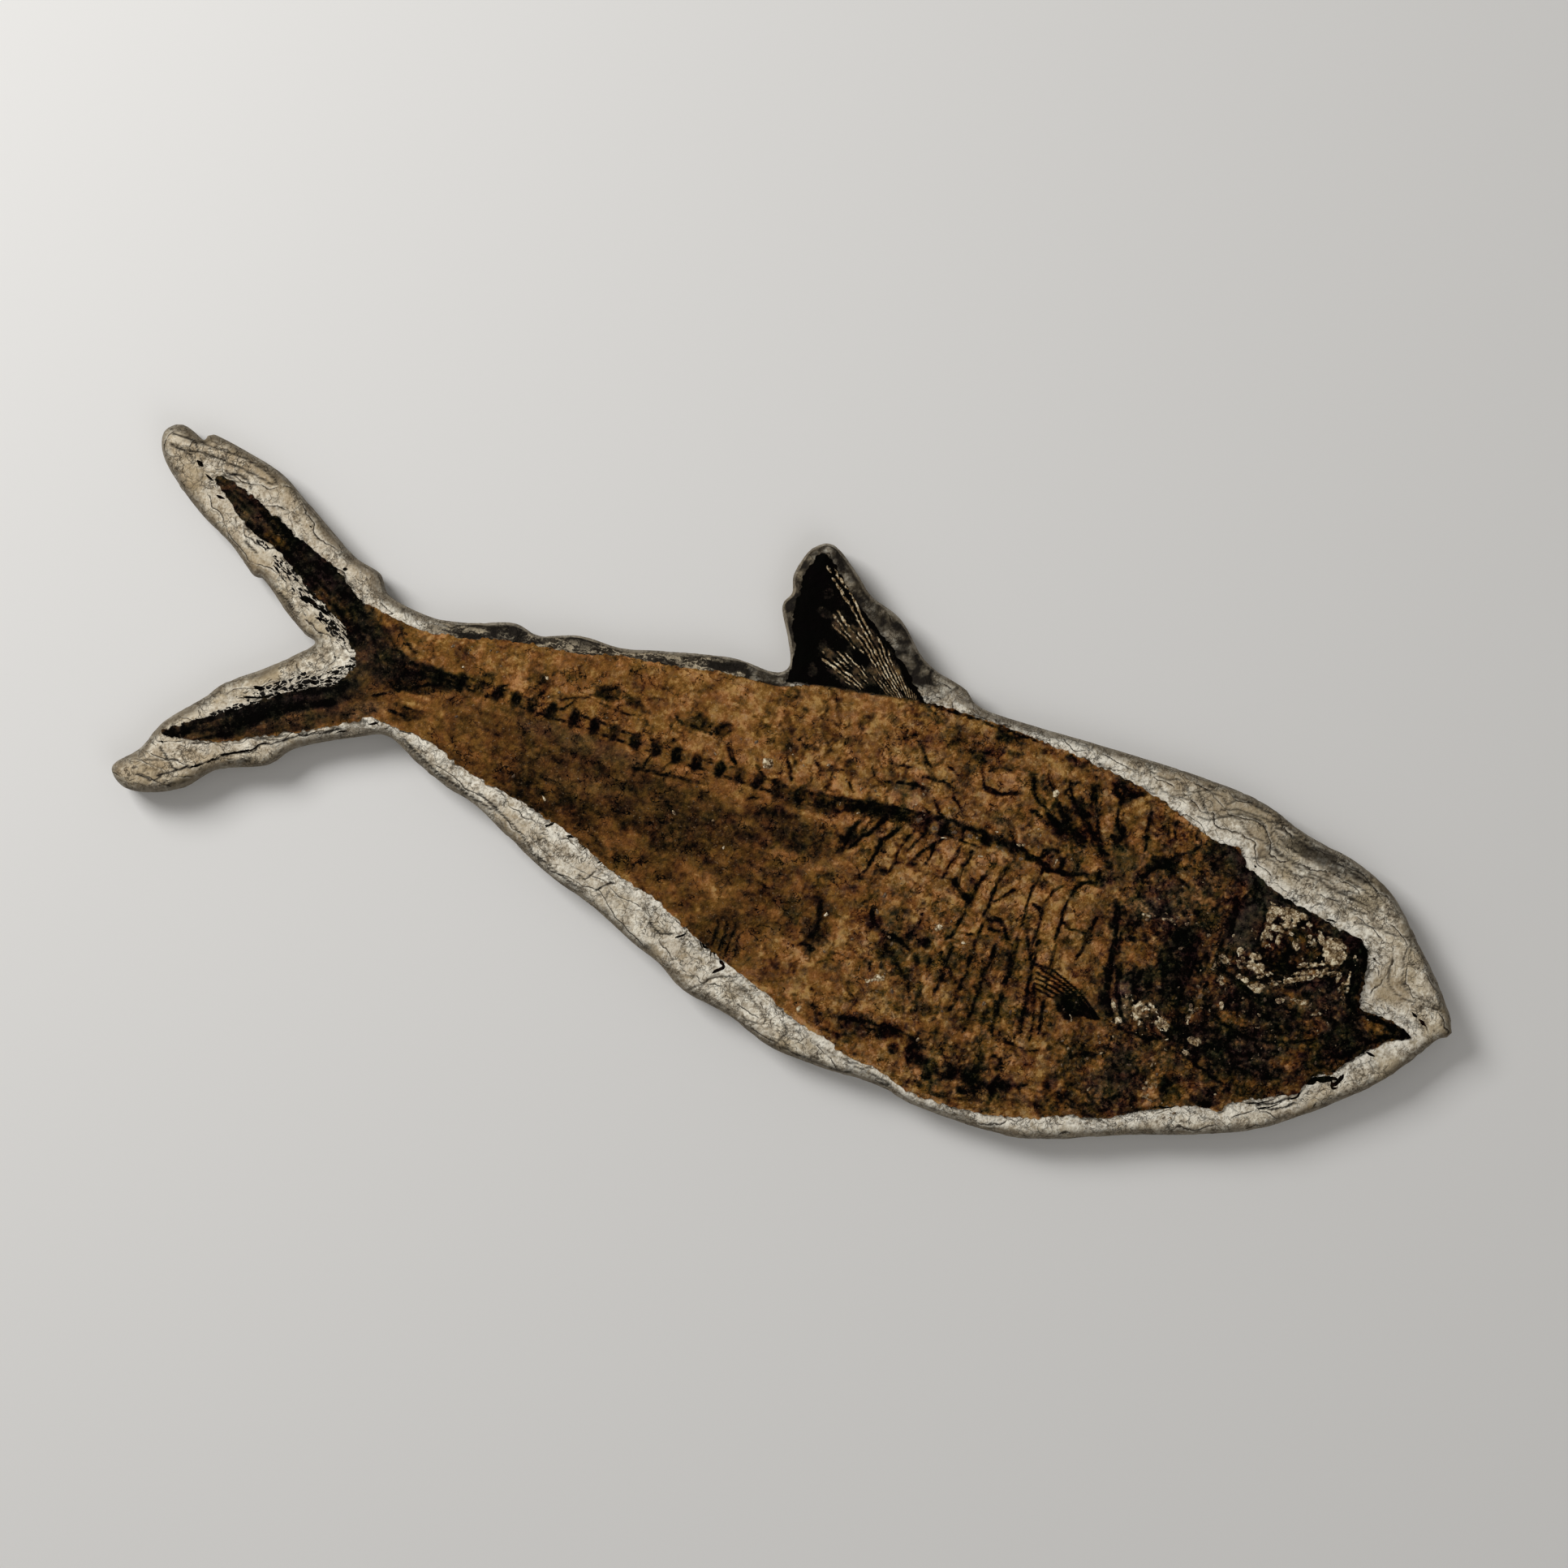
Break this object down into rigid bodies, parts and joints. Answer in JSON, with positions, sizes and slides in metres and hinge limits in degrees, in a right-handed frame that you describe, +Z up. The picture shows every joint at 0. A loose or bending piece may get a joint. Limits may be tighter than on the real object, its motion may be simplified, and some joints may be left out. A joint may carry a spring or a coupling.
{
  "type": "fossil fish",
  "caption": "Fork-tailed fossil fish pressed in pale limestone, the stone trimmed to the fish's outline; lies flat as a display specimen.",
  "frame": {"origin": "middle of the flat underside, under the centre of the plate's box", "axes": "+X towards the fish's snout, +Y towards the fish's back, +Z up out of the stone"},
  "size_m": [0.4366, 0.1558, 0.0163],
  "materials": {
    "limestone": "matt, chalky, with scraped and bedded faces",
    "fossil_bone": "dark brown fossil film, satin over the bones"
  },
  "bodies": {
    "root": {"limestone_matrix": "limestone", "fossil_fish": "fossil_bone"}
  },
  "joints": []
}
